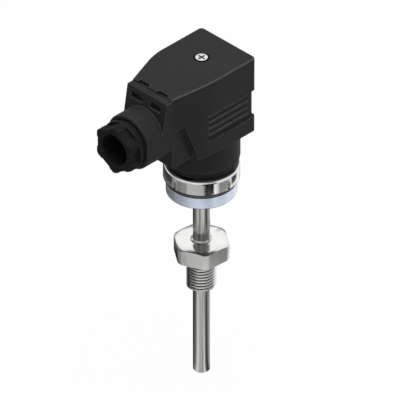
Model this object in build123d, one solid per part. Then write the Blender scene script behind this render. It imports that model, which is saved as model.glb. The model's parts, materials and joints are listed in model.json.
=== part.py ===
from build123d import *
import os
from math import cos, radians, sin, tan

# Temperature probe with a plug-on connector head, in millimetres.
# The origin is on the probe's axis, in the underside of the hexagon, where the
# fitting seals. +Z runs along the probe to the head. The cable leaves to -X.

os.makedirs("parts", exist_ok=True)

# Clearances
fixed_gap = 0.03         # pressed, welded or moulded-in pieces
running_gap = 0.05       # a thread or contact that moves in its seat
loose_gap = 0.3          # pieces that pass each other freely
past = 1.0               # how far a cut runs past the face that it opens

# Probe tube and what it holds
tube_dia = 6.35
tube_wall = 0.5
tip_wall = 1.0
tip_round = 0.6
insertion_length = 51.7
element_dia = 2.8
element_length = 15.0
element_round = 0.35
lead_dia = 0.8
lead_circle = 1.3
lead_bend = 0.72
insulator_slack = 0.08

# Process fitting: hexagon, male thread and weld collar
hex_across_flats = 19.05
hex_height = 6.6
hex_turn = 54.5
hex_corner_dia = 21.0
hex_face_dia = 18.5
hex_seat_dia = 20.2
hex_chamfer_angle = 22
thread_dia = 11.11
thread_length = 14.25
thread_end_dia = 8.0
thread_end_length = 0.95
weld_foot_radius = 4.4
weld_height = 1.2
weld_land = 0.08
weld_hollow = 0.22

# The connector's width sets the ring, the cup, the base, the skirt and the box
connector_width = 28.0

# Steel cup, its label and the crimped ring
exposed_neck = 22.1
cup_overhang = 1.15
cup_height = 7.0
cup_wall = 1.25
cup_floor = 1.5
cup_round = 0.25
tube_above_floor = 0.8
cup_flange_height = 2.3
label_thickness = 0.1
label_height = 4.55
label_below_ring = 1.35
ring_wall = 0.7
ring_lip = 0.8
ring_mouth_gap = 0.25
ring_curl = 0.35
ring_roll_width = 0.9
ring_roll_height = 1.8
ring_low_round = 0.5
ring_above_flange = 1.3
notch_width = 1.6
notch_height = 3.5
notch_depth = 0.35
notch_above_ring = 2.35
notch_count = 4

# Moulded base with the contact pins
flange_height = 2.6
spigot_gap = 0.2
spigot_length = 4.6
seal_section = 1.16
seal_groove_depth = 1.0
seal_groove_width = 1.5
seal_groove_below = 1.0
step_insets = [1.35, 0.95, 0.55]
step_heights = [1.7, 0.9, 0.9]
contact_inset = 3.45
blade_width = 6.3
blade_thickness = 0.8
blade_length = 8.5
blade_tip = 0.24
blade_tail = 2.0
pillar_dia = 6.8
pillar_height = 2.9
insert_dia = 4.4
insert_length = 7.5
insert_floor = 0.8
gasket_inset = 0.15
gasket_width = 3.55
gasket_thickness = 0.95

# Plug housing: box, tapered front, skirt and cable neck
box_bottom = 55.0
box_top = 86.6
box_wall = 1.8
top_wall = 2.2
back_corner = 1.8
top_edge = 0.8
knee_round = 35.0
crease_round = 60.0
taper_start = -10.5
taper_end = -24.8
front_width = 20.0
top_drop = 1.8
skirt_proud = 0.1
skirt_wall = 1.6
undercut_top = 71.1
undercut_front = -19.8
undercut_back = -14.1
rim_front = -27.5
rim_drop = 0.9
rim_round = 0.4
face_lean = 2.0
face_above_axis = 4.4
block_below_axis = 2.0
shin_front = -21.4
shin_chamfer = 1.1
porch_lift = 3.0
porch_below_axis = 4.0
grip_bottom = 61.2
grip_top = 72.8
grip_front = -10.2
grip_depth = 0.7
rib_count = 4
rib_pitch = 2.68
rib_first = 63.7
rib_front = -10.0
rib_back = 9.7
seam_front = -13.9
seam_depth = 0.3
seam_height = 0.45
slot_offset = 4.8
slot_front = -25.4
slot_width = 5.2
slot_length = 1.8
slot_depth = 1.4
window_width = 5.2
window_height = 2.6
window_depth = 1.4
window_below_rim = 1.8
latch_height = 1.0
latch_inset = 0.4

# Cable gland
gland_height = 67.6
neck_dia = 21.4
neck_end = -37.1
neck_edge = 0.5
gland_thread_dia = 17.8
grommet_seat = -27.0
grommet_length = 4.0
grommet_bore = 9.0
grommet_edge = 0.4
washer_thickness = 1.0
washer_bore = 11.6
nut_gap = 2.0
nut_collar_dia = 19.2
nut_collar_length = 1.2
nut_hex_length = 4.15
nut_across_flats = 17.1
nut_bore = 12.2
nut_bore_edge = 0.5
nut_front_round = 0.3
nut_notch_width = 4.4
nut_notch_depth = 0.4
shank_edge = 0.5
cable_hole = 12.0

# Centre screw and its seal
screw_dia = 3.0
screw_engagement = 4.0
screw_point = 0.4
head_dia = 5.4
head_height = 1.65
head_recess_dia = 6.2
head_recess_depth = 2.15
head_edge = 0.3
cross_width = 0.8
cross_length = 3.2
cross_depth = 1.0
screw_seal_dia = 5.2
screw_seal_thickness = 0.5
boss_dia = 8.4

# Contact carrier and its terminals
carrier_height = 15.3
carrier_slack = 0.5
carrier_floor = 2.3
terminal_depth = 3.6
terminal_width = 7.4
terminal_height = 12.4
terminal_edge = 0.3
wire_hole_dia = 2.5
wire_hole_below_top = 3.4
wire_stop = 0.7
clamp_screw_dia = 2.5
clamp_head_dia = 3.5
clamp_head_height = 1.5
clamp_slot = 0.6
lug_reach = 1.0
lug_height = 1.8
lug_width = 3.2
lug_root = 2.0

# Levels and places that follow from the sizes above
tube_radius = tube_dia / 2
tube_bore = tube_radius - tube_wall
tip_z = -insertion_length
cup_bottom = hex_height + exposed_neck
ring_radius = connector_width / 2
ring_bore = ring_radius - ring_wall
cup_radius = ring_radius - cup_overhang
cup_inside = cup_radius - cup_wall
cup_floor_top = cup_bottom + cup_floor
cup_shoulder = cup_bottom + cup_height
cup_top = cup_shoulder + cup_flange_height
tube_top = cup_floor_top + tube_above_floor
ring_bottom = cup_shoulder - ring_lip
flange_radius = ring_bore - running_gap
flange_top = cup_top + flange_height
ring_top = flange_top + ring_above_flange
box_half = connector_width / 2
skirt_radius = box_half + skirt_proud
skirt_bore = skirt_radius - skirt_wall
step_radii = [skirt_radius - inset for inset in step_insets]
step_levels = [flange_top + sum(step_heights[:i]) for i in range(len(step_heights) + 1)]
base_top = step_levels[-1]
ring_mouth = step_radii[0] + ring_mouth_gap
spigot_radius = cup_inside - spigot_gap
spigot_bottom = cup_top - spigot_length
carrier_radius = skirt_bore - running_gap
contact_circle = carrier_radius - contact_inset
blade_top = base_top + blade_length
tail_end = spigot_bottom - blade_tail
pillar_top = base_top + pillar_height
insert_bottom = pillar_top - insert_length
gasket_top = base_top + gasket_thickness
gasket_radius = skirt_radius - gasket_inset
front_half = front_width / 2
slope = top_drop / (taper_start - taper_end)
rim_top = box_top - top_drop - rim_drop
box_inside = box_half - box_wall
ceiling = box_top - top_wall
gland_axis = Axis((0, 0, gland_height), (1, 0, 0))
gland_radius = gland_thread_dia / 2
gland_bore = gland_radius + running_gap
grommet_radius = gland_bore - loose_gap
grommet_end = grommet_seat - grommet_length
washer_end = grommet_end - fixed_gap - washer_thickness
shank_end = washer_end - running_gap
collar_back = neck_end - nut_gap
collar_front = collar_back - nut_collar_length
nut_front = collar_front - nut_hex_length
carrier_bottom = gasket_top + running_gap
carrier_top = carrier_bottom + carrier_height
terminal_bottom = carrier_bottom + carrier_floor
terminal_top = terminal_bottom + terminal_height
recess_floor = box_top - head_recess_depth
seal_bottom = recess_floor + fixed_gap
seal_top = seal_bottom + screw_seal_thickness
head_bottom = seal_top + fixed_gap
head_top = head_bottom + head_height
screw_radius = screw_dia / 2
screw_tip = pillar_top - screw_engagement
shaft_hole = screw_radius + loose_gap
element_bottom = tip_z + tip_wall + fixed_gap
element_top = element_bottom + element_length
insulator_bottom = element_top + loose_gap
lead_turn = tail_end + lead_dia
contact_angles = {"1": 90, "2": 270, "3": 180, "earth": 0}
upward = (Align.CENTER, Align.CENTER, Align.MIN)


def turned(points):
    # Solid of revolution about the probe's axis, from (radius, height) points
    return revolve(make_face(Plane.XZ * Polyline(*points, close=True)), Axis.Z, 360)


def tube_z(outer, inner, low, high):
    return turned([(inner, low), (outer, low), (outer, high), (inner, high)])


def gland_turned(points):
    # Solid of revolution about the gland's axis, from (place along X, radius) points
    outline = [(x, gland_height + radius) for x, radius in points]
    return revolve(make_face(Plane.XZ * Polyline(*outline, close=True)), gland_axis, 360)


def slab(x0, x1, y0, y1, z0, z1):
    return Pos((x0 + x1) / 2, (y0 + y1) / 2, (z0 + z1) / 2) * Box(x1 - x0, y1 - y0, z1 - z0)


def side_profile(points, half_width):
    # Plate whose outline is seen from the side, centred on the middle plane
    face = make_face(Plane.XZ * Polyline(*points, close=True))
    return extrude(face, amount=half_width, both=True)


def edges_where(part, test):
    return [edge for edge in part.edges() if test(edge)]


def is_upright(edge):
    return abs(edge.tangent_at(0.5).Z) > 0.95


def is_ring(edge, height, radius):
    # True for a level circle at the height that is no smaller than the radius
    return (edge.geom_type == GeomType.CIRCLE and abs(edge.center().Z - height) < fixed_gap
            and edge.radius > radius - fixed_gap)


# Probe tube: closed at the tip, open in the cup
def make_probe_tube():
    tube = tube_z(tube_radius, 0, tip_z, tube_top)
    tube = fillet(edges_where(tube, lambda e: is_ring(e, tip_z, tube_radius)), tip_round)
    return tube - tube_z(tube_bore, 0, tip_z + tip_wall, tube_top + past)


def make_rtd_element():
    core = tube_z(element_dia / 2, 0, element_bottom, element_top)
    return fillet(core.edges(), element_round)


# One ceramic rod with a bore for each lead
def make_ceramic_insulator():
    rod = tube_z(tube_bore - insulator_slack, 0, insulator_bottom, cup_floor_top)
    for name in ("1", "2", "3"):
        angle = radians(contact_angles[name])
        bore = tube_z(lead_dia / 2 + running_gap, 0, insulator_bottom - past, cup_floor_top + past)
        rod -= Pos(lead_circle * cos(angle), lead_circle * sin(angle), 0) * bore
    return rod


# Leads run up the tube and turn out to the tails of their pins
def make_lead(name):
    reach = contact_circle - blade_thickness / 2
    path = FilletPolyline(
        (lead_circle, 0, element_top), (lead_circle, 0, lead_turn), (reach, 0, lead_turn),
        radius=lead_bend)
    start = Plane(origin=(lead_circle, 0, element_top), z_dir=(0, 0, 1))
    return Rot(0, 0, contact_angles[name]) * sweep(start * Circle(lead_dia / 2), path=path)


# Hexagon with turned corners, thread blank and the weld that joins it to the tube
def make_process_fitting():
    corner = hex_across_flats / 2 / cos(radians(30))
    body = extrude(Rot(0, 0, hex_turn) * RegularPolygon(corner, 6), amount=hex_height)
    face = hex_face_dia / 2
    seat = hex_seat_dia / 2
    wide = hex_corner_dia / 2
    steep = tan(radians(hex_chamfer_angle))
    body &= turned([
        (0, 0), (seat, 0), (wide, (wide - seat) * steep),
        (wide, hex_height - (wide - face) * steep), (face, hex_height), (0, hex_height)])
    thread = thread_dia / 2
    body += turned([
        (0, 0), (thread, 0), (thread, thread_end_length - thread_length),
        (thread_end_dia / 2, -thread_length), (0, -thread_length)])
    bore = tube_radius + fixed_gap
    collar_top = hex_height + weld_height
    rim = bore + weld_land
    middle = ((weld_foot_radius + rim) / 2 - weld_hollow, hex_height + weld_height / 2 - weld_hollow)
    weld = Plane.XZ * (
        Line((0, hex_height), (weld_foot_radius, hex_height))
        + ThreePointArc((weld_foot_radius, hex_height), middle, (rim, collar_top))
        + Polyline((rim, collar_top), (0, collar_top), (0, hex_height)))
    body += revolve(make_face(weld), Axis.Z, 360)
    return body - tube_z(bore, 0, -thread_length - past, collar_top + past)


# Deep-drawn cup with a flange that the ring holds
def make_housing_cup():
    cup = turned([
        (tube_radius + fixed_gap, cup_bottom), (cup_radius, cup_bottom), (cup_radius, cup_shoulder),
        (flange_radius, cup_shoulder), (flange_radius, cup_top), (cup_inside, cup_top),
        (cup_inside, cup_floor_top), (tube_radius + fixed_gap, cup_floor_top)])
    return fillet(edges_where(cup, lambda e: is_ring(e, cup_bottom, cup_radius)), cup_round)


def make_label_band():
    high = ring_bottom - label_below_ring
    inner = cup_radius + fixed_gap
    return tube_z(inner + label_thickness, inner, high - label_height, high)


# Ring rolled in over the flanges at both ends, with four oval marks from the crimping tool
def make_crimp_ring():
    inner = cup_radius + label_thickness
    roll_start = (ring_radius, ring_top - ring_roll_height)
    roll_end = (ring_radius - ring_roll_width, ring_top)
    section = Plane.XZ * (
        TangentArc(roll_start, roll_end, tangent=(0, 1))
        + Polyline(
            roll_end, (ring_mouth, ring_top), (ring_mouth, flange_top + ring_curl),
            (ring_bore, flange_top + fixed_gap), (ring_bore, cup_shoulder - fixed_gap),
            (inner, cup_shoulder - fixed_gap), (inner, ring_bottom), (ring_radius, ring_bottom), roll_start))
    ring = revolve(make_face(section), Axis.Z, 360)
    ring = fillet(edges_where(ring, lambda e: is_ring(e, ring_bottom, ring_radius)), ring_low_round)
    for i in range(notch_count):
        oval = Plane(origin=(ring_radius - notch_depth, 0, ring_bottom + notch_above_ring),
                     x_dir=(0, 0, 1), z_dir=(1, 0, 0)) * SlotOverall(notch_height, notch_width)
        ring -= Rot(0, 0, 360 / notch_count * i) * extrude(oval, amount=notch_depth + past)
    return ring


# Base: spigot in the cup, flange under the ring, stepped collar and a central pillar
def make_connector_base():
    groove_top = cup_top - seal_groove_below
    groove_low = groove_top - seal_groove_width
    inner = spigot_radius - seal_groove_depth
    outline = [
        (0, spigot_bottom), (spigot_radius, spigot_bottom), (spigot_radius, groove_low),
        (inner, groove_low), (inner, groove_top), (spigot_radius, groove_top),
        (spigot_radius, cup_top), (flange_radius, cup_top), (flange_radius, flange_top)]
    for radius, low, high in zip(step_radii, step_levels, step_levels[1:]):
        outline += [(radius, low), (radius, high)]
    outline += [(pillar_dia / 2, base_top), (pillar_dia / 2, pillar_top), (0, pillar_top)]
    base = turned(outline)
    base -= tube_z(insert_dia / 2 + fixed_gap, 0, insert_bottom, pillar_top + past)
    for angle in contact_angles.values():
        base -= Rot(0, 0, angle) * blade_blank(fixed_gap, tail_end - past, blade_top)
    return base


def blade_blank(gap, low, high):
    half = blade_thickness / 2 + gap
    wide = blade_width / 2 + gap
    return slab(contact_circle - half, contact_circle + half, -wide, wide, low, high)


# Flat pin with a pointed tip
def make_pin(name):
    blade = blade_blank(0, tail_end, blade_top)
    tip = edges_where(blade, lambda e: abs(e.center().Z - blade_top) < fixed_gap)
    return Rot(0, 0, contact_angles[name]) * chamfer(tip, blade_tip)


def make_base_seal_ring():
    middle = cup_top - seal_groove_below - seal_groove_width / 2
    centre = spigot_radius - seal_groove_depth + seal_section / 2 + fixed_gap
    section = Plane.XZ * Pos(centre, middle) * Circle(seal_section / 2 - fixed_gap)
    return revolve(section, Axis.Z, 360)


def make_threaded_insert():
    tapped = tube_z(screw_radius + running_gap, 0, insert_bottom + insert_floor, pillar_top + past)
    return tube_z(insert_dia / 2, 0, insert_bottom, pillar_top) - tapped


# Flat gasket between base and plug, with a rounded rim
def make_profile_gasket():
    gasket = tube_z(gasket_radius, gasket_radius - gasket_width, base_top, gasket_top)
    rim = [edge for height in (base_top, gasket_top)
           for edge in edges_where(gasket, lambda e: is_ring(e, height, gasket_radius))]
    return fillet(rim, gasket_thickness / 4)


# Plug housing, outside: box with a narrowing front and a sloping top
def make_box_shape():
    plan = make_face(Polyline(
        (box_half, -box_half), (box_half, box_half), (taper_start, box_half),
        (taper_end, front_half), (taper_end, -front_half), (taper_start, -box_half), close=True))
    box = extrude(Pos(0, 0, box_bottom) * plan, amount=box_top - box_bottom)
    front = taper_end - past
    box -= side_profile([
        (taper_start, box_top), (taper_start, box_top + past), (front, box_top + past),
        (front, box_top - slope * (taper_start - front))], box_half + past)
    back = edges_where(box, lambda e: is_upright(e) and e.center().X > box_half - past)
    box = fillet(back, back_corner)
    knee = edges_where(box, lambda e: is_upright(e) and abs(e.center().X - taper_start) < past)
    box = fillet(knee, knee_round)
    crease = edges_where(box, lambda e: abs(e.center().Y) < past and abs(e.center().X - taper_start) < past
                         and abs(e.center().Z - box_top) < fixed_gap)
    box = fillet(crease, crease_round)
    upper = edges_where(box, lambda e: e.center().Z > box_top - top_drop - fixed_gap and not is_upright(e)
                        and (abs(e.center().Y) > front_half - past or e.center().X > box_half - past))
    box = fillet(upper, top_edge)
    # The lower front of each side steps in to the width of the neck
    lean = (undercut_back - undercut_front) / (undercut_top - box_bottom)
    step = side_profile([
        (undercut_front, undercut_top), (front, undercut_top), (front, box_bottom - past),
        (undercut_back + lean * past, box_bottom - past)], box_half + past)
    step -= slab(front - past, box_half, -front_half, front_half, box_bottom - 2 * past, box_top)
    return box - step


# Sunk band round the back and sides, with finger ribs and a fading seam on the sides
def add_grips(box):
    outer = box_half + past
    sunk = box_half - grip_depth
    band = slab(grip_front, outer, -outer, outer, grip_bottom, grip_top)
    inner = slab(grip_front - past, sunk, -sunk, sunk, grip_bottom - past, grip_top + past)
    corners = edges_where(inner, lambda e: is_upright(e) and e.center().X > 0)
    box -= band - fillet(corners, back_corner)
    for side in (-1, 1):
        for i in range(rib_count):
            place = Pos(rib_front, side * sunk, rib_first + rib_pitch * i) * Rot(0, 90, 0)
            box += place * Cylinder(grip_depth, rib_back - rib_front, align=upward)
        seam = Polyline((seam_front, side * box_half), (grip_front + past, side * box_half),
                        (grip_front + past, side * (box_half - seam_depth)), close=True)
        box -= extrude(Pos(0, 0, grip_bottom) * make_face(seam), amount=seam_height)
    return box


# Front block with the leaning face above the neck and the shin below it
def make_front_block():
    foot = gland_height - block_below_axis
    block = side_profile([
        (taper_start, rim_top), (rim_front, rim_top),
        (rim_front - face_lean, gland_height + face_above_axis), (rim_front - face_lean, foot),
        (shin_front, foot), (shin_front, box_bottom), (taper_start, box_bottom)], front_half)
    low = edges_where(block, lambda e: abs(e.center().Z - box_bottom) < fixed_gap
                      and e.center().X < taper_start - past)
    block = chamfer(low, shin_chamfer)
    rim = edges_where(block, lambda e: abs(e.center().X - rim_front) < fixed_gap
                      and abs(e.center().Z - rim_top) < fixed_gap)
    return fillet(rim, rim_round)


def make_neck():
    radius = neck_dia / 2
    neck = gland_turned([
        (shin_front + past, 0), (shin_front + past, radius), (neck_end + neck_edge, radius),
        (neck_end, radius - neck_edge), (neck_end, 0)])
    return neck & slab(neck_end - past, 0, -front_half, front_half, 0, 2 * gland_height)


# Room inside: the carrier's bore, the wiring space and the cable's way in
def make_cavity():
    low = box_bottom + box_wall
    bore = tube_z(skirt_bore, 0, gasket_top - past, low)
    room = slab(-box_inside, box_inside, -box_inside, box_inside, low, ceiling)
    room = fillet(edges_where(room, is_upright), back_corner)
    half = front_half - box_wall
    porch = slab(shin_front + box_wall, 0, -half, half, low + porch_lift, rim_top - top_wall)
    porch += slab(grommet_seat + box_wall, 0, -half, half,
                  gland_height - porch_below_axis, rim_top - top_wall)
    entry = gland_turned([
        (neck_end - past, 0), (neck_end - past, gland_bore), (grommet_seat, gland_bore),
        (grommet_seat, cable_hole / 2), (0, cable_hole / 2), (0, 0)])
    return bore + room + porch + entry


# Slots behind the rim, and windows in the face with a latch nose in each
def add_front_openings(housing):
    slot_top = box_top - top_drop
    high = rim_top - window_below_rim
    outside = rim_front - face_lean - past
    floor = rim_front + window_depth
    nose_top = high - (window_height - latch_height) / 2
    for side in (-1, 1):
        middle = side * slot_offset
        reach = slot_width / 2
        housing -= slab(slot_front, slot_front + slot_length, middle - reach, middle + reach,
                        slot_top - slot_depth, slot_top + past)
        reach = window_width / 2
        housing -= slab(outside, floor, middle - reach, middle + reach, high - window_height, high)
        reach -= latch_inset
        housing += slab(rim_front + latch_inset, floor + fixed_gap, middle - reach, middle + reach,
                        nose_top - latch_height, nose_top)
    return housing


def make_plug_housing():
    housing = add_grips(make_box_shape()) + make_front_block() + make_neck()
    housing += tube_z(skirt_radius, 0, gasket_top, box_bottom)
    housing -= make_cavity()
    housing += tube_z(boss_dia / 2, 0, carrier_top + loose_gap, ceiling + fixed_gap)
    housing -= tube_z(shaft_hole, 0, box_bottom, box_top + past)
    housing -= tube_z(head_recess_dia / 2, 0, recess_floor, box_top + past)
    return add_front_openings(housing)


# Contact carrier: round in the skirt, flat on four sides, with a pocket for each terminal
def make_contact_carrier():
    across = box_inside - carrier_slack
    body = tube_z(carrier_radius, 0, carrier_bottom, carrier_top)
    body &= slab(-across, across, -across, across, carrier_bottom, carrier_top)
    ledge = box_bottom + box_wall + fixed_gap
    root = carrier_radius - lug_root
    lug = turned([
        (root, ledge), (carrier_radius + lug_reach, ledge),
        (carrier_radius, ledge + lug_height), (root, ledge + lug_height)])
    quarter = slab(0, connector_width, -lug_width / 2, lug_width / 2, carrier_bottom, carrier_top)
    for i in range(4):
        body += lug & (Rot(0, 0, 45 + 90 * i) * quarter)
    body -= tube_z(pillar_dia / 2 + loose_gap, 0, carrier_bottom - past, pillar_top + loose_gap)
    body -= tube_z(shaft_hole, 0, carrier_bottom, carrier_top + past)
    well = contact_circle - terminal_depth / 2 - running_gap
    body -= tube_z(well, 0, terminal_top - wire_hole_below_top - wire_hole_dia, carrier_top + past)
    for angle in contact_angles.values():
        pocket = terminal_blank(running_gap, terminal_bottom - fixed_gap, carrier_top + past)
        opening = blade_blank(loose_gap, carrier_bottom - past, terminal_bottom + past)
        body -= Rot(0, 0, angle) * (pocket + opening)
    return body


def terminal_blank(gap, low, high):
    half = terminal_depth / 2 + gap
    wide = terminal_width / 2 + gap
    return slab(contact_circle - half, contact_circle + half, -wide, wide, low, high)


# Socket terminal: slot for the blade below, wire hole and clamping screw above
def make_terminal(name):
    block = terminal_blank(0, terminal_bottom, terminal_top)
    block = chamfer(edges_where(block, is_upright), terminal_edge)
    block -= blade_blank(running_gap, terminal_bottom - past, blade_top + loose_gap)
    height = terminal_top - wire_hole_below_top
    length = terminal_depth + past - wire_stop
    entry = Pos(contact_circle - terminal_depth / 2 - past, 0, height) * Rot(0, 90, 0)
    block -= entry * Cylinder(wire_hole_dia / 2, length, align=upward)
    tapped = clamp_screw_dia / 2 + fixed_gap
    block -= Pos(contact_circle, 0, 0) * tube_z(tapped, 0, height, terminal_top + past)
    return Rot(0, 0, contact_angles[name]) * block


def make_clamp_screw(name):
    seat = terminal_top + fixed_gap
    low = terminal_top - wire_hole_below_top + wire_hole_dia / 2
    top = seat + clamp_head_height
    screw = tube_z(clamp_screw_dia / 2, 0, low, seat) + tube_z(clamp_head_dia / 2, 0, seat, top)
    screw -= slab(-clamp_head_dia, clamp_head_dia, -clamp_slot / 2, clamp_slot / 2,
                  seat + clamp_head_height / 2, top + past)
    return Rot(0, 0, contact_angles[name]) * Pos(contact_circle, 0, 0) * screw


def make_cable_grommet():
    start = grommet_seat - fixed_gap
    return gland_turned([
        (start, grommet_bore / 2), (start, grommet_radius),
        (grommet_end, grommet_radius - grommet_edge), (grommet_end, grommet_bore / 2)])


def make_gland_washer():
    start = grommet_end - fixed_gap
    return gland_turned([
        (start, washer_bore / 2), (start, grommet_radius),
        (washer_end, grommet_radius), (washer_end, washer_bore / 2)])


# Gland nut: notched hexagon, collar and threaded shank
def make_gland_nut():
    apothem = nut_across_flats / 2
    corner = apothem / cos(radians(30))
    wide = corner + past
    front = Plane(origin=(nut_front, 0, gland_height), x_dir=(0, 0, 1), z_dir=(1, 0, 0))
    head = extrude(front * RegularPolygon(corner, 6), amount=nut_hex_length)
    for i in range(6):
        angle = 30 + 60 * i
        place = front * Pos(apothem * cos(radians(angle)), apothem * sin(radians(angle)), nut_hex_length / 2)
        head -= place * Rot(0, 0, angle) * Box(2 * nut_notch_depth, nut_notch_width, nut_hex_length + past)
    head &= gland_turned([
        (nut_front, 0), (nut_front, corner - nut_front_round), (nut_front + nut_front_round + past, wide),
        (collar_front, wide), (collar_front, 0)])
    rest = gland_turned([
        (collar_front, 0), (collar_front, nut_collar_dia / 2), (collar_back, nut_collar_dia / 2),
        (collar_back, gland_radius), (shank_end - shank_edge, gland_radius),
        (shank_end, gland_radius - shank_edge), (shank_end, 0)])
    bore = nut_bore / 2
    hole = gland_turned([
        (nut_front - past, 0), (nut_front - past, bore + nut_bore_edge), (nut_front, bore + nut_bore_edge),
        (nut_front + nut_bore_edge, bore), (shank_end + past, bore), (shank_end + past, 0)])
    return head + rest - hole


def make_screw_seal_ring():
    return tube_z(screw_seal_dia / 2, shaft_hole, seal_bottom, seal_top)


# Captive centre screw with a cross recess
def make_centre_screw():
    head = head_dia / 2
    screw = turned([
        (0, screw_tip), (screw_radius - screw_point, screw_tip), (screw_radius, screw_tip + screw_point),
        (screw_radius, head_bottom), (head, head_bottom), (head, head_top - head_edge),
        (head - head_edge, head_top), (0, head_top)])
    cross = slab(-cross_length / 2, cross_length / 2, -cross_width / 2, cross_width / 2,
                 head_top - cross_depth, head_top + past)
    return screw - cross - Rot(0, 0, 90) * cross


pieces = {
    "probe_tube": make_probe_tube(),
    "rtd_element": make_rtd_element(),
    "ceramic_insulator": make_ceramic_insulator(),
    "process_fitting": make_process_fitting(),
    "housing_cup": make_housing_cup(),
    "label_band": make_label_band(),
    "crimp_ring": make_crimp_ring(),
    "connector_base": make_connector_base(),
    "base_seal_ring": make_base_seal_ring(),
    "threaded_insert": make_threaded_insert(),
    "profile_gasket": make_profile_gasket(),
    "plug_housing": make_plug_housing(),
    "contact_carrier": make_contact_carrier(),
    "cable_grommet": make_cable_grommet(),
    "gland_washer": make_gland_washer(),
    "gland_nut": make_gland_nut(),
    "screw_seal_ring": make_screw_seal_ring(),
    "centre_screw": make_centre_screw(),
}
for name in contact_angles:
    pieces["earth_pin" if name == "earth" else "contact_pin_" + name] = make_pin(name)
    pieces["terminal_" + name] = make_terminal(name)
    pieces["clamp_screw_" + name] = make_clamp_screw(name)
for name in ("1", "2", "3"):
    pieces["lead_wire_" + name] = make_lead(name)

for name, piece in pieces.items():
    export_step(piece, "parts/" + name + ".step")
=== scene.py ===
# A temperature probe with a plug-on connector head, dressed for a studio picture.
# Blender works in metres, and the sizes written here are millimetres unless a note
# says otherwise.

import json
import math

import bpy
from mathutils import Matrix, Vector


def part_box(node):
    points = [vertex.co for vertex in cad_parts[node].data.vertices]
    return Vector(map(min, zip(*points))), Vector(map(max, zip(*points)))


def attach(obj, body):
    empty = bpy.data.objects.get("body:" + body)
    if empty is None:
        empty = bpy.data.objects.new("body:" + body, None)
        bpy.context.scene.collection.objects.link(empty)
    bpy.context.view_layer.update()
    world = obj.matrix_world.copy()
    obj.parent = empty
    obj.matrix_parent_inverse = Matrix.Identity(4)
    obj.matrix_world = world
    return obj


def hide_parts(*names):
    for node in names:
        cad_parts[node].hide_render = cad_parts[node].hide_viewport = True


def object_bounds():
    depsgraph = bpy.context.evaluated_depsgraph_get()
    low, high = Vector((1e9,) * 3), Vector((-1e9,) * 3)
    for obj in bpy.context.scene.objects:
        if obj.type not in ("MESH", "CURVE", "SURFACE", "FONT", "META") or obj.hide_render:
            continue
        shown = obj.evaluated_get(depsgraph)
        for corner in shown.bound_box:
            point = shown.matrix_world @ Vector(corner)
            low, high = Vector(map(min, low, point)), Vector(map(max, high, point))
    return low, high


mm = 0.001
mergeGap = 0.0001  # points of a new outline closer than this are one
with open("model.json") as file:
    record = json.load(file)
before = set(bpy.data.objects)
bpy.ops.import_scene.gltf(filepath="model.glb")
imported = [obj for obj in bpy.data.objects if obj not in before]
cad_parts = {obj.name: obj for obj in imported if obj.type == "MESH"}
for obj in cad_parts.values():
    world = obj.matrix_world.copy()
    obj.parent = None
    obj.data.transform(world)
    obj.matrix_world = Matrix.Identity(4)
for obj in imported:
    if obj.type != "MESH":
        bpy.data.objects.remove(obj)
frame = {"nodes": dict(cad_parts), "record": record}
nodes = frame["nodes"]
cadBox = [list(corner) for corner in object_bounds()]


def clearSelection():
    if bpy.context.object and bpy.context.object.mode != "OBJECT":
        bpy.ops.object.mode_set(mode="OBJECT")
    bpy.ops.object.select_all(action="DESELECT")


def takeUp(piece):
    clearSelection()
    piece.select_set(True)
    bpy.context.view_layer.objects.active = piece


def applyModifier(piece, kind, settings):
    takeUp(piece)
    modifier = piece.modifiers.new(kind.title(), kind)
    for key, value in settings.items():
        setattr(modifier, key, value)
    bpy.ops.object.modifier_apply(modifier=modifier.name)


def mergeDoubles():
    bpy.ops.mesh.select_all(action="SELECT")
    bpy.ops.mesh.remove_doubles(threshold=mergeGap)


def closeSkin():
    # Merges the seams, closes open ends and turns the faces outwards, then leaves edit mode
    mergeDoubles()
    bpy.ops.mesh.select_all(action="SELECT")
    bpy.ops.mesh.fill_holes(sides=0)
    bpy.ops.mesh.select_all(action="SELECT")
    bpy.ops.mesh.normals_make_consistent(inside=False)
    bpy.ops.object.mode_set(mode="OBJECT")


def drawOutline(name, points, closed):
    # One vertex is extruded from point to point, and each point is a radius and a height
    clearSelection()
    bpy.ops.mesh.primitive_plane_add(size=1.0, location=(0, 0, 0))
    piece = bpy.context.object
    piece.name = piece.data.name = name
    bpy.ops.object.mode_set(mode="EDIT")
    bpy.ops.mesh.select_all(action="SELECT")
    bpy.ops.mesh.merge(type="CENTER")
    here = Vector((points[0][0], 0, points[0][1]))
    bpy.ops.transform.translate(value=here)
    for radius, height in points[1:] + (points[:1] if closed else []):
        there = Vector((radius, 0, height))
        bpy.ops.mesh.extrude_region_move(TRANSFORM_OT_translate={"value": there - here})
        here = there
    mergeDoubles()
    bpy.ops.object.mode_set(mode="OBJECT")
    return piece


def spinOutline(name, points, steps):
    piece = drawOutline(name, points, True)
    bpy.ops.object.mode_set(mode="EDIT")
    bpy.ops.mesh.select_all(action="SELECT")
    bpy.ops.mesh.spin(steps=steps, angle=2 * math.pi, center=(0, 0, 0), axis=(0, 0, 1))
    closeSkin()
    return piece


def cutTo(piece, tool):
    # Only what lies inside the tool is kept
    applyModifier(piece, "BOOLEAN", {"object": tool, "operation": "INTERSECT", "solver": "EXACT"})
    bpy.data.objects.remove(tool)


def toMetres(piece):
    # A new piece is drawn with one unit to the millimetre until here
    takeUp(piece)
    bpy.ops.transform.resize(value=(mm, mm, mm), center_override=(0, 0, 0))
    bpy.ops.object.transform_apply(location=True, rotation=True, scale=True)


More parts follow.
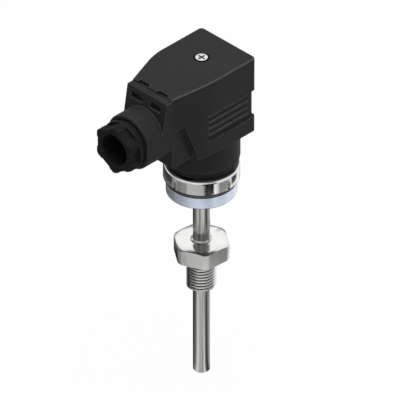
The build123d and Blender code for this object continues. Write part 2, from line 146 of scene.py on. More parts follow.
# The threaded fitting: hexagon with turned corners, weld fillet and a real helical thread.
# Angles are in degrees. The crest is a share of the pitch, and runOut counts turns past the end.
fitting = {
    "acrossFlats": 19.05, "height": 6.6, "turn": 54.5, "cornerDiameter": 21.0,
    "faceDiameter": 18.5, "seatDiameter": 20.2, "chamferAngle": 22,
    "threadDiameter": 11.11, "pitch": 1.27, "threadDepth": 0.69, "flankAngle": 30,
    "crestShare": 0.125, "runOut": 2, "threadLength": 14.25,
    "pointDiameter": 8.0, "pointLength": 0.95, "boreRadius": 3.205,
    "weldFoot": 4.4, "weldHeight": 1.2, "weldLand": 0.08, "weldSink": 0.02, "weldSteps": 8,
    "steps": 72, "smoothAngle": 28,
}


def makeHexagon(s):
    clearSelection()
    halfSide = 30  # degrees from the middle of a side to its corner
    corner = s["acrossFlats"] / 2 / math.cos(math.radians(halfSide))
    bpy.ops.mesh.primitive_cylinder_add(
        vertices=6, radius=corner, depth=s["height"], location=(0, 0, s["height"] / 2),
        rotation=(0, 0, math.radians(s["turn"] - halfSide)))
    block = bpy.context.object
    bpy.ops.object.transform_apply(location=True, rotation=True, scale=True)
    face, seat, wide = s["faceDiameter"] / 2, s["seatDiameter"] / 2, s["cornerDiameter"] / 2
    steep = math.tan(math.radians(s["chamferAngle"]))
    tool = spinOutline("chamferTool", [
        (s["boreRadius"], 0), (seat, 0), (wide, (wide - seat) * steep),
        (wide, s["height"] - (wide - face) * steep), (face, s["height"]),
        (s["boreRadius"], s["height"])], 2 * s["steps"])
    cutTo(block, tool)
    return block


def makeThread(s):
    # One turn's outline is screwed along the axis past both ends, and a tool cuts it to length
    crest = s["threadDiameter"] / 2
    root = crest - s["threadDepth"]
    flank = s["threadDepth"] * math.tan(math.radians(s["flankAngle"]))
    land = s["pitch"] * s["crestShare"]
    turns = math.ceil(s["threadLength"] / s["pitch"]) + s["runOut"] + 1
    low = -s["threadLength"] - s["runOut"] * s["pitch"]
    blank = drawOutline("thread", [
        (root, low), (crest, low + flank), (crest, low + flank + land),
        (root, low + 2 * flank + land), (root, low + s["pitch"])], False)
    applyModifier(blank, "SCREW", {
        "axis": "Z", "angle": 2 * math.pi, "screw_offset": s["pitch"], "iterations": turns,
        "steps": s["steps"], "render_steps": s["steps"], "use_merge_vertices": True,
        "merge_threshold": mergeGap})
    bpy.ops.object.mode_set(mode="EDIT")
    closeSkin()
    point = s["pointDiameter"] / 2
    tool = spinOutline("threadTool", [
        (s["boreRadius"], 0), (crest, 0), (crest, s["pointLength"] - s["threadLength"]),
        (point, -s["threadLength"]), (s["boreRadius"], -s["threadLength"])], s["steps"])
    cutTo(blank, tool)
    return blank


def makeWeld(s):
    # A hollow fillet, from the hexagon's face up to the tube
    rim = s["boreRadius"] + s["weldLand"]
    foot, low, high = s["weldFoot"], s["height"] - s["weldSink"], s["height"] + s["weldHeight"]
    hollow = []
    for step in range(1, s["weldSteps"]):
        turn = math.radians(90) * step / s["weldSteps"]
        hollow.append((foot - (foot - rim) * math.sin(turn), high - (high - low) * math.cos(turn)))
    return spinOutline("weld", [(s["boreRadius"], low), (foot, low)] + hollow
                       + [(rim, high), (s["boreRadius"], high)], s["steps"])


def makeFitting(s):
    parts = [makeHexagon(s), makeThread(s), makeWeld(s)]
    clearSelection()
    for part in parts:
        part.select_set(True)
    bpy.context.view_layer.objects.active = parts[0]
    bpy.ops.object.join()
    piece = bpy.context.object
    piece.name = piece.data.name = "threaded_fitting"
    toMetres(piece)
    bpy.ops.object.shade_smooth_by_angle(angle=math.radians(s["smoothAngle"]))
    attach(piece, "sensor")
    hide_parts("process_fitting")
    return piece


threadedFitting = makeFitting(fitting)
print("threaded fitting:", len(threadedFitting.data.polygons), "faces")


def colour(code):
    # sRGB hex to the linear values that Blender mixes
    parts = [int(code[i:i + 2], 16) / 255 for i in (1, 3, 5)]
    return [p / 12.92 if p <= 0.04045 else ((p + 0.055) / 1.055) ** 2.4 for p in parts] + [1.0]


def addNode(tree, kind, settings=None, inputs=None):
    node = tree.nodes.new("ShaderNode" + kind)
    for key, value in (settings or {}).items():
        setattr(node, key, value)
    for key, value in (inputs or {}).items():
        if isinstance(value, bpy.types.NodeSocket):
            tree.links.new(value, node.inputs[key])
        else:
            node.inputs[key].default_value = value
    return node


def newFinish(name, look):
    material = bpy.data.materials.new(name)
    material.use_nodes = True
    tree = material.node_tree
    tree.nodes.clear()
    shader = addNode(tree, "BsdfPrincipled", None, look)
    addNode(tree, "OutputMaterial", None, {"Surface": shader.outputs["BSDF"]})
    place = addNode(tree, "TexCoord").outputs["Object"]
    return material, tree, shader, place


def axisRadius(tree, parts):
    # Distance from the probe's axis
    flat = addNode(tree, "CombineXYZ", None, {"X": parts.outputs["X"], "Y": parts.outputs["Y"]})
    radius = addNode(tree, "VectorMath", {"operation": "LENGTH"}, {0: flat.outputs["Vector"]})
    return radius.outputs["Value"]


def dressSurface(tree, shader, s, tones, toned, raised, shined=None, under=None):
    # The tone goes from the first to the second by one pattern, the relief rises by another, and
    # the shine goes from smooth to rough by a third. Under the relief lie softened edges.
    tone = addNode(tree, "Mix", {"data_type": "RGBA"}, {"Factor": toned, 6: tones[0], 7: tones[1]})
    tree.links.new(tone.outputs[2], shader.inputs["Base Color"])
    relief = addNode(tree, "Bump", None, {
        "Height": raised, "Strength": s["relief"], "Distance": s["depth"] * mm})
    tree.links.new(relief.outputs["Normal"], shader.inputs["Normal"])
    if under is not None:
        tree.links.new(under, relief.inputs["Normal"])
    if shined is not None:
        shine = addNode(tree, "MapRange", {"clamp": True}, {
            "Value": shined, "To Min": s["smooth"], "To Max": s["rough"]})
        tree.links.new(shine.outputs["Result"], shader.inputs["Roughness"])


# A noise scale is 1 / (size in metres), so 1000 / 0.4 gives features of 0.4 mm. Drawn lines, tool
# marks and mould grain are finer on the real one, and are as coarse here as they need to show.

def drawnSteel():
    # Stainless tube drawn through a die: bright, with straight lines along its length.
    s = {"dark": "#8F8F8D", "light": "#D3D3D0", "darkUpTo": 0.36, "lightFrom": 0.6,
         "streak": 0.9, "line": 0.22, "run": 90, "smooth": 0.06, "rough": 0.16,
         "relief": 0.12, "depth": 0.05}
    material, tree, shader, place = newFinish("drawnStainlessTube", {"Metallic": 1.0})
    patterns = []
    for wide, detail in ((s["streak"], 2.0), (s["line"], 1.0)):
        drawn = addNode(tree, "Mapping", None, {
            "Vector": place, "Scale": (1000 / wide, 1000 / wide, 1000 / s["run"])})
        noise = addNode(tree, "TexNoise", None, {
            "Vector": drawn.outputs["Vector"], "Scale": 1.0, "Detail": detail})
        patterns.append(noise.outputs["Fac"])
    streaks, lines = patterns
    pale = addNode(tree, "MapRange", {"clamp": True}, {
        "Value": streaks, "From Min": s["darkUpTo"], "From Max": s["lightFrom"]})
    dressSurface(tree, shader, s, (colour(s["dark"]), colour(s["light"])),
                 pale.outputs["Result"], lines, shined=lines)
    return material


def turnedSteel():
    # Stainless bar turned on a lathe: rings round the axis, a little soft in its shine.
    s = {"light": "#EEEEEC", "dark": "#DCDCDA", "groove": 0.16, "patch": 4.0, "edge": 0.12,
         "smooth": 0.13, "rough": 0.24, "relief": 0.06, "depth": 0.05}
    material, tree, shader, place = newFinish("turnedStainless", {"Metallic": 1.0})
    parts = addNode(tree, "SeparateXYZ", None, {"Vector": place})
    rings = addNode(tree, "CombineXYZ", None, {
        "X": axisRadius(tree, parts), "Z": parts.outputs["Z"]})
    grooves = addNode(tree, "TexNoise", None, {
        "Vector": rings.outputs["Vector"], "Scale": 1000 / s["groove"], "Detail": 2.0})
    patches = addNode(tree, "TexNoise", None, {
        "Vector": place, "Scale": 1000 / s["patch"], "Detail": 3.0})
    soft = addNode(tree, "Bevel", {"samples": 4}, {"Radius": s["edge"] * mm})
    dressSurface(tree, shader, s, (colour(s["light"]), colour(s["dark"])), patches.outputs["Fac"],
                 grooves.outputs["Fac"], shined=grooves.outputs["Fac"], under=soft.outputs["Normal"])
    return material


def cutThread():
    # The same bar with a die-cut thread: bright crests, and painted shade in the roots, darker
    # towards the axis.
    s = {"root": "#1C1C1B", "crest": "#F0F0EE", "rootRadius": 4.9, "crestRadius": 5.35,
         "groove": 0.2, "smooth": 0.14, "rough": 0.26, "relief": 0.06, "depth": 0.05}
    material, tree, shader, place = newFinish("dieCutStainless", {"Metallic": 1.0})
    parts = addNode(tree, "SeparateXYZ", None, {"Vector": place})
    rise = addNode(tree, "MapRange", {"clamp": True}, {
        "Value": axisRadius(tree, parts), "From Min": s["rootRadius"] * mm,
        "From Max": s["crestRadius"] * mm})
    grooves = addNode(tree, "TexNoise", None, {
        "Vector": place, "Scale": 1000 / s["groove"], "Detail": 2.0})
    dressSurface(tree, shader, s, (colour(s["root"]), colour(s["crest"])), rise.outputs["Result"],
                 grooves.outputs["Fac"], shined=grooves.outputs["Fac"])
    return material


def platedRing(low):
    # Rolled steel strip, nickel plated and bright: a mirror with a faint ripple from the crimp,
    # and a dark line of painted shade along its lower edge.
    s = {"shadeTone": "#3C3C3C", "tone": "#EDEDEB", "shadeHeight": 0.55, "unshadedHeight": 0.825,
         "ripple": 3.0, "smear": 1.2, "edge": 0.15, "smooth": 0.04, "rough": 0.1,
         "relief": 0.1, "depth": 0.2}
    material, tree, shader, place = newFinish("nickelPlatedStrip", {"Metallic": 1.0})
    height = addNode(tree, "SeparateXYZ", None, {"Vector": place}).outputs["Z"]
    # Painted shade: darker towards the ring's lower edge
    unshaded = addNode(tree, "MapRange", {"clamp": True}, {
        "Value": height, "From Min": low + s["shadeHeight"] * mm,
        "From Max": low + s["unshadedHeight"] * mm})
    waves = addNode(tree, "TexNoise", None, {
        "Vector": place, "Scale": 1000 / s["ripple"], "Detail": 1.0})
    smears = addNode(tree, "TexNoise", None, {
        "Vector": place, "Scale": 1000 / s["smear"], "Detail": 3.0})
    soft = addNode(tree, "Bevel", {"samples": 4}, {"Radius": s["edge"] * mm})
    dressSurface(tree, shader, s, (colour(s["shadeTone"]), colour(s["tone"])), unshaded.outputs["Result"],
                 waves.outputs["Fac"], shined=smears.outputs["Fac"], under=soft.outputs["Normal"])
    return material


def labelFoil(low, high):
    # Satin silver polyester label: pale and even, with a thin dark line along both edges.
    s = {"tone": "#E4EFFF", "line": "#5D6168", "lineWidth": 0.12, "mottle": 0.5,
         "metallic": 0.8, "rough": 0.2, "relief": 0.05, "depth": 0.05}
    material, tree, shader, place = newFinish("satinLabelFoil", {
        "Metallic": s["metallic"], "Roughness": s["rough"]})
    height = addNode(tree, "SeparateXYZ", None, {"Vector": place}).outputs["Z"]
    off = addNode(tree, "Math", {"operation": "SUBTRACT"}, {0: height, 1: (low + high) / 2})
    away = addNode(tree, "Math", {"operation": "ABSOLUTE"}, {0: off.outputs["Value"]})
    edge = addNode(tree, "Math", {"operation": "GREATER_THAN"}, {
        0: away.outputs["Value"], 1: (high - low) / 2 - s["lineWidth"] * mm})
    mottle = addNode(tree, "TexNoise", None, {
        "Vector": place, "Scale": 1000 / s["mottle"], "Detail": 2.0})
    dressSurface(tree, shader, s, (colour(s["tone"]), colour(s["line"])), edge.outputs["Value"],
                 mottle.outputs["Fac"])
    return material


# Where moulded plastic gets a paler painted highlight. An edge shows by how far its softened normal
# turns from the flat face, and a shoulder by how far the face looks up without being level, both as
# cosines.
paintedSheen = {"edge": (0.97, 0.8), "shoulder": (0.25, 0.6), "level": (0.985, 0.9), "neckFade": 2.0}


def paintedShoulderSheen(tree, shape, place, s):
    # The round shoulders of the box get a paler painted highlight where they face up, but not the
    # cable neck
    facing = addNode(tree, "SeparateXYZ", None, {"Vector": shape.outputs["Normal"]}).outputs["Z"]
    along = addNode(tree, "SeparateXYZ", None, {"Vector": place}).outputs["X"]
    neckEnds = (s["neck"] * mm, (s["neck"] + paintedSheen["neckFade"]) * mm)
    shoulderSheen = s["shoulderSheen"]
    for value, (none, full) in (
            (facing, paintedSheen["shoulder"]), (facing, paintedSheen["level"]), (along, neckEnds)):
        share = addNode(tree, "MapRange", {"clamp": True}, {
            "Value": value, "From Min": none, "From Max": full})
        shoulderSheen = addNode(tree, "Math", {"operation": "MULTIPLY"}, {
            0: shoulderSheen, 1: share.outputs["Result"]}).outputs["Value"]
    return shoulderSheen


def mouldedPlastic(name, s):
    # Glass-filled polyamide from a spark-eroded mould: nearly matt, with a paler painted highlight
    # on its edges.
    material, tree, shader, place = newFinish(name, {"IOR": 1.53, "Specular IOR Level": s["gloss"]})
    grain = addNode(tree, "TexNoise", None, {
        "Vector": place, "Scale": 1000 / s["grain"], "Detail": 2.0, "Roughness": 0.6})
    cloud = addNode(tree, "TexNoise", None, {
        "Vector": place, "Scale": 1000 / s["cloud"], "Detail": 3.0})
    body = addNode(tree, "Mix", {"data_type": "RGBA"}, {
        "Factor": cloud.outputs["Fac"], 6: colour(s["tone"]), 7: colour(s["shade"])})
    soft = addNode(tree, "Bevel", {"samples": 6}, {"Radius": s["edge"] * mm})
    shape = addNode(tree, "NewGeometry")
    turn = addNode(tree, "VectorMath", {"operation": "DOT_PRODUCT"}, {
        0: soft.outputs["Normal"], 1: shape.outputs["True Normal"]})
    # Painted highlight: paler where the softened normal turns from the flat face
    none, full = paintedSheen["edge"]
    highlighted = addNode(tree, "MapRange", {"clamp": True}, {
        "Value": turn.outputs["Value"], "From Min": none, "From Max": full,
        "To Min": 0.0, "To Max": s["highlightShare"]}).outputs["Result"]
    if "shoulderSheen" in s:
        highlighted = addNode(tree, "Math", {"operation": "MAXIMUM"}, {
            0: highlighted, 1: paintedShoulderSheen(tree, shape, place, s)}).outputs["Value"]
    dressSurface(tree, shader, s, (body.outputs[2], colour(s["highlightTone"])), highlighted,
                 grain.outputs["Fac"], shined=grain.outputs["Fac"], under=soft.outputs["Normal"])
    return material


def softRubber():
    # Moulded nitrile rubber: dull black with a dusty bloom.
    s = {"tone": "#161616", "bloom": "#242424", "grain": 0.5, "rough": 0.75, "gloss": 0.2,
         "relief": 0.15, "depth": 0.05}
    material, tree, shader, place = newFinish("nitrileRubber", {
        "Roughness": s["rough"], "Specular IOR Level": s["gloss"]})
    dust = addNode(tree, "TexNoise", None, {
        "Vector": place, "Scale": 1000 / s["grain"], "Detail": 4.0}).outputs["Fac"]
    dressSurface(tree, shader, s, (colour(s["tone"]), colour(s["bloom"])), dust, dust)
    return material


def smallMetal(name, s):
    # Small turned or stamped metal: tool marks that catch the light, and patchy tarnish.
    s = {"edge": 0.1, "relief": 0.1, "depth": 0.05, **s}
    material, tree, shader, place = newFinish(name, {"Metallic": 1.0})
    marks = addNode(tree, "TexNoise", None, {
        "Vector": place, "Scale": 1000 / s["marks"], "Detail": 3.0})
    patches = addNode(tree, "TexNoise", None, {
        "Vector": place, "Scale": 1000 / s["patch"], "Detail": 3.0})
    soft = addNode(tree, "Bevel", {"samples": 4}, {"Radius": s["edge"] * mm})
    dressSurface(tree, shader, s, (colour(s["tone"]), colour(s["dull"])), patches.outputs["Fac"],
                 marks.outputs["Fac"], shined=marks.outputs["Fac"], under=soft.outputs["Normal"])
    return material


def paleSolid(name, s):
    # Fired alumina or a glass-silk sleeve: pale, dry and slightly speckled.
    s = {"relief": 0.2, "depth": 0.05, **s}
    material, tree, shader, place = newFinish(name, {"Roughness": s["rough"]})
    specks = addNode(tree, "TexNoise", None, {
        "Vector": place, "Scale": 1000 / s["speck"], "Detail": 4.0}).outputs["Fac"]
    dressSurface(tree, shader, s, (colour(s["tone"]), colour(s["shade"])), specks, specks)
    return material


def paintRimShade(material, s):
    # Paints shade on a round piece, darker from one radius to another about the probe's axis,
    # outwards or inwards.
    tree = material.node_tree
    shader = tree.nodes["Principled BSDF"]
    place = addNode(tree, "TexCoord").outputs["Object"]
    parts = addNode(tree, "SeparateXYZ", None, {"Vector": place})
    dark = addNode(tree, "MapRange", {"clamp": True}, {
        "Value": axisRadius(tree, parts), "From Min": s["unshaded"] * mm, "From Max": s["full"] * mm})
    tone = addNode(tree, "Mix", {"data_type": "RGBA"}, {
        "Factor": dark.outputs["Result"], 6: shader.inputs["Base Color"].links[0].from_socket,
        7: colour(s["tone"])})
    tree.links.new(tone.outputs[2], shader.inputs["Base Color"])


labelLow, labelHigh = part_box("label_band")
finishes = {
    "drawn_steel": drawnSteel(),
    "turned_steel": turnedSteel(),
    "plated_ring": platedRing(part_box("crimp_ring")[0].z),
    "label_foil": labelFoil(labelLow.z, labelHigh.z),
    "housing_polyamide": mouldedPlastic("grainedPolyamideHousing", {
        "tone": "#2B2B2B", "shade": "#272727", "highlightTone": "#707174", "highlightShare": 0.6, "shoulderSheen": 0.3,
        "neck": -27, "grain": 0.35, "cloud": 9.0, "edge": 0.45, "gloss": 0.1, "smooth": 0.5,
        "rough": 0.62, "relief": 0.12, "depth": 0.1}),
    "base_polyamide": mouldedPlastic("smoothPolyamideBase", {
        "tone": "#1E1E1E", "shade": "#191919", "highlightTone": "#303030", "highlightShare": 0.4, "grain": 0.3,
        "cloud": 6.0, "edge": 0.2, "gloss": 0.12, "smooth": 0.42, "rough": 0.52,
        "relief": 0.06, "depth": 0.1}),
    "gland_polyamide": mouldedPlastic("glandPolyamide", {
        "tone": "#1E1F20", "shade": "#191A1B", "highlightTone": "#484848", "highlightShare": 0.5, "grain": 0.3,
        "cloud": 6.0, "edge": 0.25, "gloss": 0.06, "smooth": 0.5, "rough": 0.62,
        "relief": 0.06, "depth": 0.1}),
    "seal_rubber": softRubber(),
    "brass": smallMetal("turnedBrass", {
        "tone": "#D8B26A", "dull": "#B08A48", "marks": 0.3, "patch": 2.0, "smooth": 0.2,
        "rough": 0.35}),
    "tinned_brass": smallMetal("tinnedBrass", {
        "tone": "#CFCDC6", "dull": "#A9A69E", "marks": 0.4, "patch": 2.5, "smooth": 0.25,
        "rough": 0.42}),
    "plated_screw": smallMetal("zincPlatedScrew", {
        "tone": "#C2C2BE", "dull": "#9C9C97", "marks": 0.3, "patch": 1.6, "smooth": 0.14,
        "rough": 0.3}),
    "ceramic": paleSolid("firedAlumina", {
        "tone": "#E6E1D3", "shade": "#D3CDBD", "speck": 0.4, "rough": 0.6}),
    "lead_sleeve": paleSolid("glassSilkSleeve", {
        "tone": "#D8D2C0", "shade": "#BDB6A2", "speck": 0.25, "rough": 0.8}),
}

for part in frame["record"]["subparts"]:
    data = nodes[part["node"]].data
    data.materials.clear()
    data.materials.append(finishes[part["material_slot"]])
# The screw sits a little below its rim, so the rim of its head gets painted shade
screwFinish = smallMetal("zincPlatedScrewHead", {
    "tone": "#F0F0EE", "dull": "#C8C8C4", "marks": 0.3, "patch": 1.2, "smooth": 0.1,
    "rough": 0.26})
paintRimShade(screwFinish, {"unshaded": 2.1, "full": 2.3, "tone": "#2A2A2A"})
nodes["centre_screw"].data.materials[0] = screwFinish
# Painted shade on the ring's flat lip beside the base's collar, so only a thin bright rim shows
# round the ring's top
paintRimShade(finishes["plated_ring"], {"unshaded": 13.75, "full": 13.6, "tone": "#484848"})
# The cup gets a darker steel tone with die marks, painted shade for its band under the ring
nodes["housing_cup"].data.materials[0] = smallMetal("shadedCupStainless", {
    "tone": "#70706E", "dull": "#5A5A58", "marks": 0.4, "patch": 3.0, "smooth": 0.2,
    "rough": 0.34})
# The hexagon stands on zero, and the thread hangs below it
threadedFitting.data.materials.clear()
threadedFitting.data.materials.append(finishes["turned_steel"])
threadedFitting.data.materials.append(cutThread())
for face in threadedFitting.data.polygons:
    face.material_index = 1 if face.center.z < 0 else 0
print("finishes:", len(finishes), "materials on", len(nodes) + 1, "pieces")


# The studio: pale floor, white surroundings, soft lamps and camera, and for the metal to mirror a
# card, screens and a cloth. A list of tones goes once round the probe's axis, each tone at its
# angle in degrees.
tubeTones = [
    (-165, "#F0F0F0"), (-150, "#B4B4B4"), (-138, "#C8C8C8"), (-128, "#F4F4F4"), (-116, "#DCDCDC"),
    (-103, "#FFFFFF"), (-91, "#A0A0A0"), (-76, "#424242"), (-62, "#505050"), (-45, "#A0A0A0"),
    (-15, "#D8D8D8"), (10, "#FFFFFF"), (40, "#FFFFFF"), (62, "#242424"), (88, "#181818"),
    (106, "#303030"), (125, "#787878"), (147, "#808080"), (160, "#C0C0C0"), (175, "#FFFFFF")]
threadTones = [
    (-160, "#FFFFFF"), (-80, "#FFFFFF"), (-62, "#B0B0B0"), (-45, "#C0C0C0"), (0, "#FFFFFF"),
    (45, "#404040"), (70, "#101010"), (150, "#141414"), (168, "#404040"), (180, "#B0B0B0")]
hexagonTones = [
    (-170, "#B8B8B8"), (-100, "#B0B0B0"), (-56, "#7C7C7C"), (-10, "#D0D0D0"), (45, "#606060"),
    (80, "#585858"), (150, "#A8A8A8")]
labelTones = [
    (-165, "#D8D8D8"), (-145, "#FFFFFF"), (0, "#FFFFFF"), (50, "#404040"), (110, "#707070"),
    (150, "#989898"), (172, "#B0B0B0")]
ringTones = [
    (-176, "#BCBCBC"), (-130, "#B4B4B4"), (-123, "#0C0C0C"), (-101, "#0C0C0C"), (-97, "#FFFFFF"),
    (-89, "#E0E0E0"), (-80, "#808080"), (-52, "#8C8C8C"), (-42, "#E8E8E8"), (-34, "#141414"),
    (-16, "#141414"), (-4, "#FFFFFF"), (40, "#FFFFFF"), (60, "#242424"), (110, "#303030"),
    (126, "#404040"), (142, "#A8A8A8"), (155, "#747474"), (168, "#8C8C8C")]
rimTones = [
    (-150, "#D0D0D0"), (-136, "#B8B8B8"), (-130, "#080808"), (-96, "#080808"), (-88, "#D8D8D8"),
    (-30, "#E0E0E0"), (40, "#FFFFFF"), (60, "#303030"), (130, "#505050"), (150, "#B0B0B0")]
horizonTones = [
    (-150, "#FFFFFF"), (-127, "#FFFFFF"), (-117, "#6A6A6A"), (-102, "#7A7A7A"), (-90, "#F4F4F4"),
    (-58, "#DCDCDC"), (-42, "#8C8C8C"), (-26, "#3C3C3C"), (-14, "#F4F4F4"), (20, "#FFFFFF"),
    (34, "#7A7A7A"), (52, "#303030"), (74, "#909090"), (94, "#FFFFFF"), (118, "#C8C8C8"),
    (138, "#4A4A4A"), (154, "#8C8C8C"), (172, "#F0F0F0")]
upperTones = [
    (-170, "#FFFFFF"), (66, "#FFFFFF"), (80, "#1C1C1C"), (138, "#1C1C1C"), (154, "#C0C0C0"),
    (168, "#FFFFFF")]
studio = {
    "floorDrop": 0.6, "floorSize": 4000, "floorTone": "#E6E6E4", "whiteShare": 0.97,
    "paleFrom": 150, "whiteFrom": 900, "ambient": 0.21,
    # Zones of the card by outer radius: lower tube, thread, hexagon, upper tube, label, ring, rim.
    # Seen from the camera, an upright side mirrors the card at 1.4 times its height off the floor.
    "cardRadius": 420, "cardLift": 0.3, "cardSides": 96,
    "zones": [(56, tubeTones), (80, threadTones), (96, hexagonTones), (115, tubeTones),
              (134, labelTones), (148, ringTones), (420, rimTones)],
    # Screens round the object, by the sine of the angle above the horizon: how high each is
    # whole, where it has faded out, and its tones
    "screens": [(0.84, 0.94, upperTones), (0.25, 0.45, horizonTones)],
    # The cloth hangs on the camera's side, and fades towards its sides and its foot
    "clothSide": (-0.707, -0.707, 0), "clothTone": "#868686", "clothEdge": (-0.4, -0.25),
    "clothFoot": (0.1, 0.16),
}


def seenDirectly(tree):
    # One for what the camera sees, also in a mirror or through glass, and zero for soft light
    path = addNode(tree, "LightPath")
    first = addNode(tree, "Math", {"operation": "MAXIMUM"}, {
        0: path.outputs["Is Camera Ray"], 1: path.outputs["Is Glossy Ray"]})
    both = addNode(tree, "Math", {"operation": "MAXIMUM"}, {
        0: first.outputs["Value"], 1: path.outputs["Is Transmission Ray"]})
    return both.outputs["Value"]


def sectorRamp(tree, parts, sectors):
    # Grey tones by the angle round the probe's axis
    angle = addNode(tree, "Math", {"operation": "ARCTAN2"}, {
        0: parts.outputs["Y"], 1: parts.outputs["X"]})
    turn = addNode(tree, "MapRange", {"clamp": True}, {
        "Value": angle.outputs["Value"], "From Min": -math.pi, "From Max": math.pi})
    ramp = addNode(tree, "ValToRGB", None, {"Fac": turn.outputs["Result"]})
    # The last tone comes back at the start, so the ring of tones has no seam
    sectors = [(-180, sectors[-1][1])] + sectors
    stops = ramp.color_ramp.elements
    while len(stops) < len(sectors):
        stops.new(0.5)
    for stop, (degrees, grey) in zip(stops, sectors):
        stop.position = (degrees + 180) / 360
        stop.color = colour(grey)
    return ramp.outputs["Color"]


def newStudioMaterial(name):
    material = bpy.data.materials.new(name)
    material.use_nodes = True
    tree = material.node_tree
    tree.nodes.clear()
    return material, tree, addNode(tree, "TexCoord").outputs["Object"]


def makeFloor(s, level):
    clearSelection()
    bpy.ops.mesh.primitive_plane_add(size=s["floorSize"] * mm, location=(0, 0, level))
    floor = bpy.context.object
    floor.name = "paper_floor"
    bpy.ops.object.transform_apply(location=True, rotation=True, scale=True)
    material, tree, place = newStudioMaterial("palePaper")
    paper = addNode(tree, "BsdfDiffuse", None, {"Color": colour(s["floorTone"])})
    white = addNode(tree, "Emission", None, {"Strength": 1.0})
    # Far from the probe the paper turns fully white, so that no edge of it shows
    away = addNode(tree, "VectorMath", {"operation": "LENGTH"}, {0: place})
    fade = addNode(tree, "MapRange", {"clamp": True}, {
        "Value": away.outputs["Value"], "From Min": s["paleFrom"] * mm,
        "From Max": s["whiteFrom"] * mm, "To Min": s["whiteShare"], "To Max": 1.0})
    share = addNode(tree, "Math", {"operation": "MULTIPLY"}, {
        0: seenDirectly(tree), 1: fade.outputs["Result"]})
    both = addNode(tree, "MixShader", None, {
        0: share.outputs["Value"], 1: paper.outputs["BSDF"], 2: white.outputs["Emission"]})
    addNode(tree, "OutputMaterial", None, {"Surface": both.outputs["Shader"]})
    floor.data.materials.append(material)


def makeReflector(s, level):
    # A card with soft grey sectors lies on the floor for the metal to mirror, and only
    # reflections see it
    clearSelection()
    bpy.ops.mesh.primitive_circle_add(
        vertices=s["cardSides"], radius=s["cardRadius"] * mm, fill_type="NGON",
        location=(0, 0, level))
    card = bpy.context.object
    card.name = "reflection_card"
    bpy.ops.object.transform_apply(location=True, rotation=True, scale=True)
    card.visible_camera = card.visible_diffuse = card.visible_shadow = False
    card.visible_transmission = card.visible_volume_scatter = False
    material, tree, place = newStudioMaterial("greyCard")
    parts = addNode(tree, "SeparateXYZ", None, {"Vector": place})
    radius = axisRadius(tree, parts)
    tone, inner = None, 0
    for outer, sectors in s["zones"]:
        ramp = sectorRamp(tree, parts, sectors)
        if tone is None:
            tone = ramp
        else:
            past = addNode(tree, "Math", {"operation": "GREATER_THAN"}, {0: radius, 1: inner * mm})
            tone = addNode(tree, "Mix", {"data_type": "RGBA"}, {
                "Factor": past.outputs["Value"], 6: tone, 7: ramp}).outputs[2]
        inner = outer
    glow = addNode(tree, "Emission", None, {"Color": tone, "Strength": 1.0})
    addNode(tree, "OutputMaterial", None, {"Surface": glow.outputs["Emission"]})
    card.data.materials.append(material)


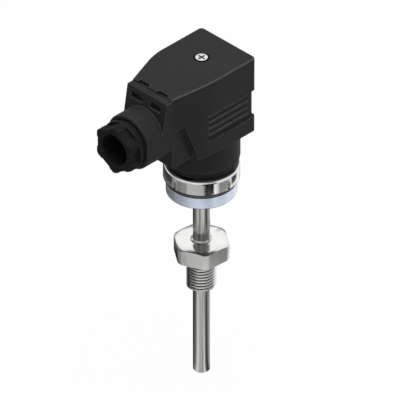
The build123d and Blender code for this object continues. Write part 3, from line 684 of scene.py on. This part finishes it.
def makeWorld(s):
    world = bpy.data.worlds.new("whiteStudio")
    bpy.context.scene.world = world
    world.use_nodes = True
    tree = world.node_tree
    tree.nodes.clear()
    fill = addNode(tree, "Background", None, {"Color": (1, 1, 1, 1), "Strength": s["ambient"]})
    # Bright metal mirrors the screens, and over them the cloth that hangs on one side
    way = addNode(tree, "TexCoord").outputs["Generated"]
    rise = addNode(tree, "SeparateXYZ", None, {"Vector": way})
    around = (1, 1, 1, 1)
    for full, gone, sectors in s["screens"]:
        low = addNode(tree, "MapRange", {"clamp": True}, {
            "Value": rise.outputs["Z"], "From Min": gone, "From Max": full})
        around = addNode(tree, "Mix", {"data_type": "RGBA"}, {
            "Factor": low.outputs["Result"], 6: around,
            7: sectorRamp(tree, rise, sectors)}).outputs[2]
    side = addNode(tree, "VectorMath", {"operation": "DOT_PRODUCT"}, {0: way, 1: s["clothSide"]})
    covered = 1.0
    for value, (gone, full) in (
            (side.outputs["Value"], s["clothEdge"]), (rise.outputs["Z"], s["clothFoot"])):
        share = addNode(tree, "MapRange", {"clamp": True}, {
            "Value": value, "From Min": gone, "From Max": full})
        covered = addNode(tree, "Math", {"operation": "MULTIPLY"}, {
            0: covered, 1: share.outputs["Result"]}).outputs["Value"]
    room = addNode(tree, "Mix", {"data_type": "RGBA"}, {
        "Factor": covered, 6: around, 7: colour(s["clothTone"])})
    tone = addNode(tree, "Mix", {"data_type": "RGBA"}, {
        "Factor": addNode(tree, "LightPath").outputs["Is Glossy Ray"], 6: (1, 1, 1, 1),
        7: room.outputs[2]})
    white = addNode(tree, "Background", None, {"Color": tone.outputs[2], "Strength": 1.0})
    both = addNode(tree, "MixShader", None, {
        0: seenDirectly(tree), 1: fill.outputs["Background"], 2: white.outputs["Background"]})
    addNode(tree, "OutputWorld", None, {"Surface": both.outputs["Shader"]})


lampTarget = Vector((0, 0, 40)) * mm
lamps = {
    "backLight": {"place": (480, 480, 480), "wide": 520, "high": 420, "watts": 0.1,
                  "mirrored": True},
    "overhead": {"place": (-60, -60, 760), "wide": 620, "high": 620, "watts": 6.0,
                 "mirrored": False},
    "rightKey": {"place": (440, -440, 420), "wide": 300, "high": 420, "watts": 0.8,
                 "mirrored": False},
    "frontFill": {"place": (-620, -300, 260), "wide": 420, "high": 420, "watts": 0.2,
                  "mirrored": False},
}


def addSoftbox(name, s):
    light = bpy.data.lights.new(name, "AREA")
    light.shape = "RECTANGLE"
    light.size, light.size_y = s["wide"] * mm, s["high"] * mm
    light.energy = s["watts"]
    lamp = bpy.data.objects.new(name, light)
    bpy.context.scene.collection.objects.link(lamp)
    lamp.visible_glossy = s["mirrored"]
    lamp.location = Vector(s["place"]) * mm
    lamp.rotation_euler = (lampTarget - lamp.location).to_track_quat("-Z", "Y").to_euler()


# The camera looks down from so far that the view is nearly parallel
camera = {
    "target": (7.556, 8.328, 15.885), "toward": (-1, -1, 1), "distance": 4040,
    "lens": 1000, "sensor": 36, "nearest": 100, "farthest": 20000,
}


def makeCamera(s):
    data = bpy.data.cameras.new("longLens")
    data.lens, data.sensor_width = s["lens"], s["sensor"]
    data.clip_start, data.clip_end = s["nearest"] * mm, s["farthest"] * mm
    viewer = bpy.data.objects.new("longLens", data)
    bpy.context.scene.collection.objects.link(viewer)
    back = Vector(s["toward"]).normalized()
    viewer.location = (Vector(s["target"]) + back * s["distance"]) * mm
    viewer.rotation_euler = (-back).to_track_quat("-Z", "Y").to_euler()
    bpy.context.scene.camera = viewer


floorLevel = cadBox[0][2] - studio["floorDrop"] * mm
makeFloor(studio, floorLevel)
makeReflector(studio, floorLevel + studio["cardLift"] * mm)
makeWorld(studio)
for name, settings in lamps.items():
    addSoftbox(name, settings)
makeCamera(camera)
bpy.context.scene.view_settings.view_transform = "Standard"
print("studio: floor at", round(floorLevel / mm, 2), "mm")
